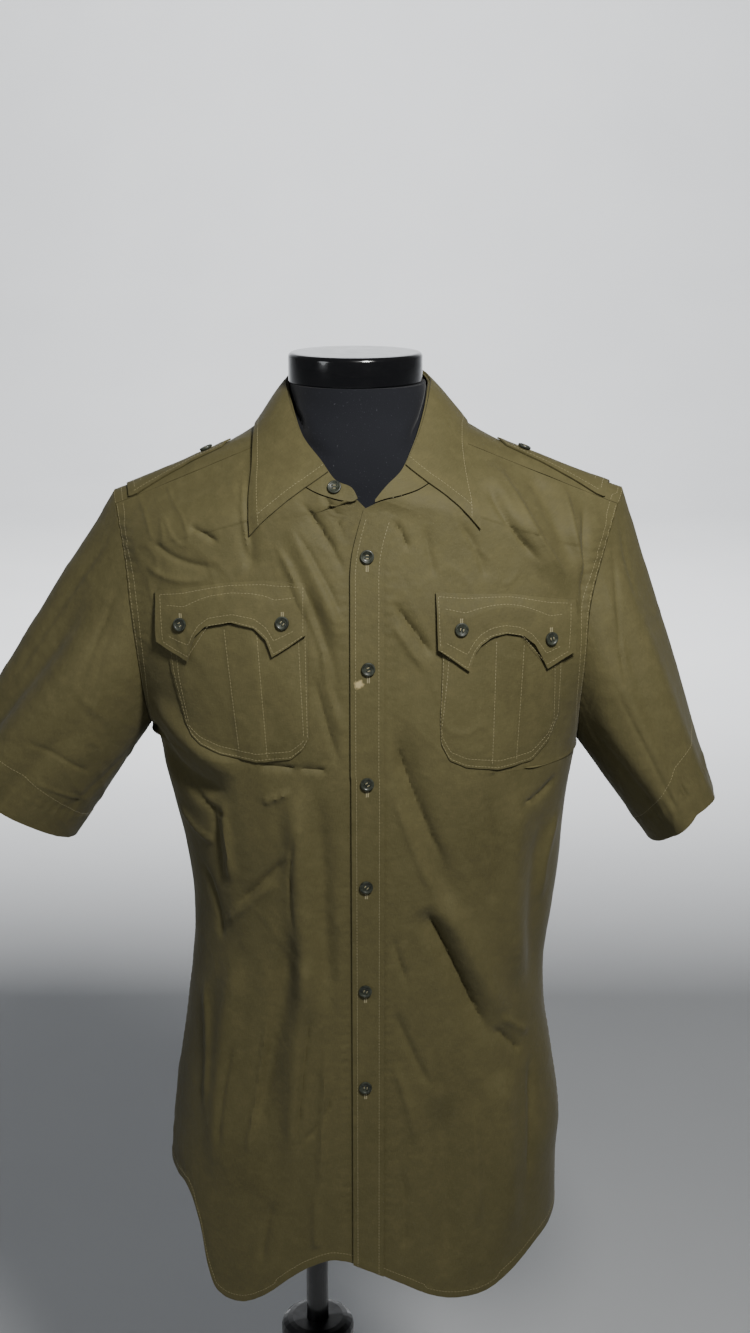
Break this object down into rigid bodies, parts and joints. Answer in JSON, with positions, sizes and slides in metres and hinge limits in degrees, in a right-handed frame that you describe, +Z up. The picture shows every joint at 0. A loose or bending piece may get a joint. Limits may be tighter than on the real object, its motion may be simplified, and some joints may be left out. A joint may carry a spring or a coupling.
{
  "type": "button-down shirt on dress form",
  "caption": "Short-sleeved olive cotton button-down shirt with flap pockets and shoulder straps, worn open at the neck on a limbless black dress form with a pole and round base.",
  "frame": {"origin": "middle of the round base's underside, on the pole's axis, at floor level", "axes": "+Z up along the pole, front of the shirt faces -Y, the wearer's left is +X"},
  "size_m": [0.7097, 0.34, 1.5],
  "materials": {
    "olive_cotton": "matt cotton with a faint sheen",
    "dark_button": "glossy",
    "black_jersey": "matt",
    "gloss_cap": "glossy",
    "black_metal": "gloss paint"
  },
  "bodies": {
    "root": {"front_right": "olive_cotton", "front_left": "olive_cotton", "placket": "olive_cotton", "back": "olive_cotton", "yoke": "olive_cotton", "sleeve_right": "olive_cotton", "sleeve_left": "olive_cotton", "collar_stand": "olive_cotton", "collar_fall": "olive_cotton", "strap_right": "olive_cotton", "strap_left": "olive_cotton", "pocket_right": "olive_cotton", "pocket_left": "olive_cotton", "pocket_flap_right": "olive_cotton", "pocket_flap_left": "olive_cotton", "button_stand": "dark_button", "button_front_1": "dark_button", "button_front_2": "dark_button", "button_front_3": "dark_button", "button_front_4": "dark_button", "button_front_5": "dark_button", "button_front_6": "dark_button", "button_flap_1": "dark_button", "button_flap_2": "dark_button", "button_flap_3": "dark_button", "button_flap_4": "dark_button", "button_strap_right": "dark_button", "button_strap_left": "dark_button", "form_body": "black_jersey", "neck_cap": "gloss_cap", "pole": "black_metal", "pole_collar": "black_metal", "base": "black_metal"}
  },
  "joints": []
}
